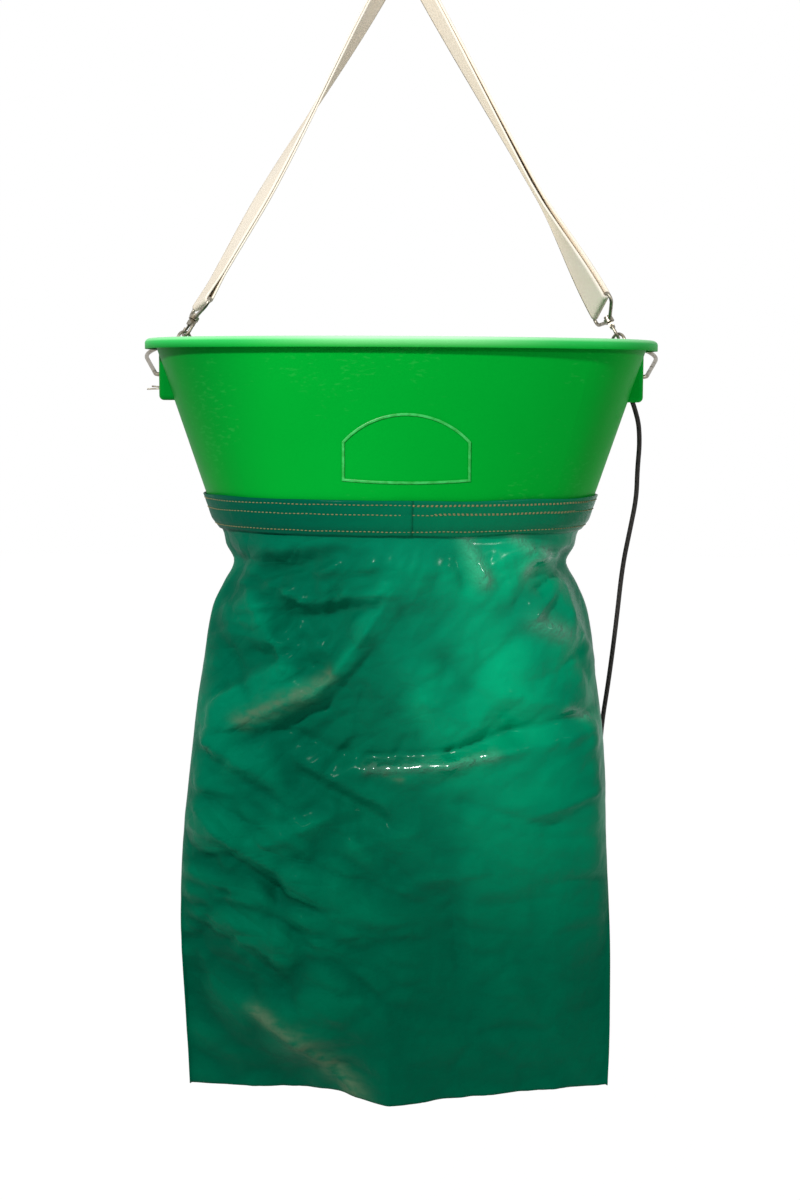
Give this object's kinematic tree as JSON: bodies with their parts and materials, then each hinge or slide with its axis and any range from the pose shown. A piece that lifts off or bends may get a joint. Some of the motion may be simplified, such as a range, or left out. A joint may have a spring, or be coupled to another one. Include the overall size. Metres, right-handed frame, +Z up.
{
  "type": "harvest basket",
  "caption": "Bottomless oval plastic tub with a sewn sleeve bag, a folding wire bail and a cream webbing shoulder strap on swivel snap hooks, for picking fruit.",
  "frame": {"origin": "where the strap's bend bears on the peg it hangs from", "axes": "+Z up, +X to the right seen from the front, the tub's front faces -Y"},
  "size_m": [0.502, 0.365, 1.1177],
  "materials": {
    "green_plastic": "bright green moulded plastic, slightly glossy",
    "green_sheet": "dark green coated fabric, glossy and creased",
    "wire": "galvanised, dull",
    "webbing": "cream cotton webbing",
    "cord": "black braided cord",
    "eyelet": "pressed brass, dull"
  },
  "bodies": {
    "basket": {"tub": "green_plastic", "bag_sleeve": "green_sheet", "collar_band": "green_sheet", "cord_catch": "wire", "cord": "cord", "cord_top_knot": "cord", "cord_end_knot": "cord", "cord_eyelet": "eyelet", "strap": "webbing", "left_strap_loop": "wire", "left_rim_eye": "wire", "left_eye_plate": "wire", "right_strap_loop": "wire", "right_rim_eye": "wire", "right_eye_plate": "wire"},
    "bail": {"bail": "wire"},
    "left_hook": {"left_hook": "wire", "left_gate_pin": "wire"},
    "left_gate": {"left_gate": "wire"},
    "right_hook": {"right_hook": "wire", "right_gate_pin": "wire"},
    "right_gate": {"right_gate": "wire"}
  },
  "joints": [
    {"name": "bail_pivot", "type": "hinge", "parent": "basket", "child": "bail", "pos_m": [0, -0.2, -0.413], "axis": [1, 0, 0], "range_deg": [0, 20]},
    {"name": "left_hook_swivel", "type": "hinge", "parent": "basket", "child": "left_hook", "pos_m": [-0.21171, -0.13454, -0.3748], "axis": [0.4497, 0.3018, 0.8406], "range_deg": [-25, 25]},
    {"name": "left_gate_hinge", "type": "hinge", "parent": "left_hook", "child": "left_gate", "pos_m": [-0.20663, -0.12873, -0.36295], "axis": [-0.6532, -0.5308, 0.54], "range_deg": [0, 20], "stiffness_Nm_per_rad": 0.005, "springref_deg": -17.19},
    {"name": "right_hook_swivel", "type": "hinge", "parent": "basket", "child": "right_hook", "pos_m": [0.21171, -0.13454, -0.3748], "axis": [-0.4497, 0.3018, 0.8406], "range_deg": [-50, 0]},
    {"name": "right_gate_hinge", "type": "hinge", "parent": "right_hook", "child": "right_gate", "pos_m": [0.20588, -0.12842, -0.36346], "axis": [-0.8627, 0.0968, -0.4963], "range_deg": [0, 20], "stiffness_Nm_per_rad": 0.005, "springref_deg": -17.19}
  ]
}
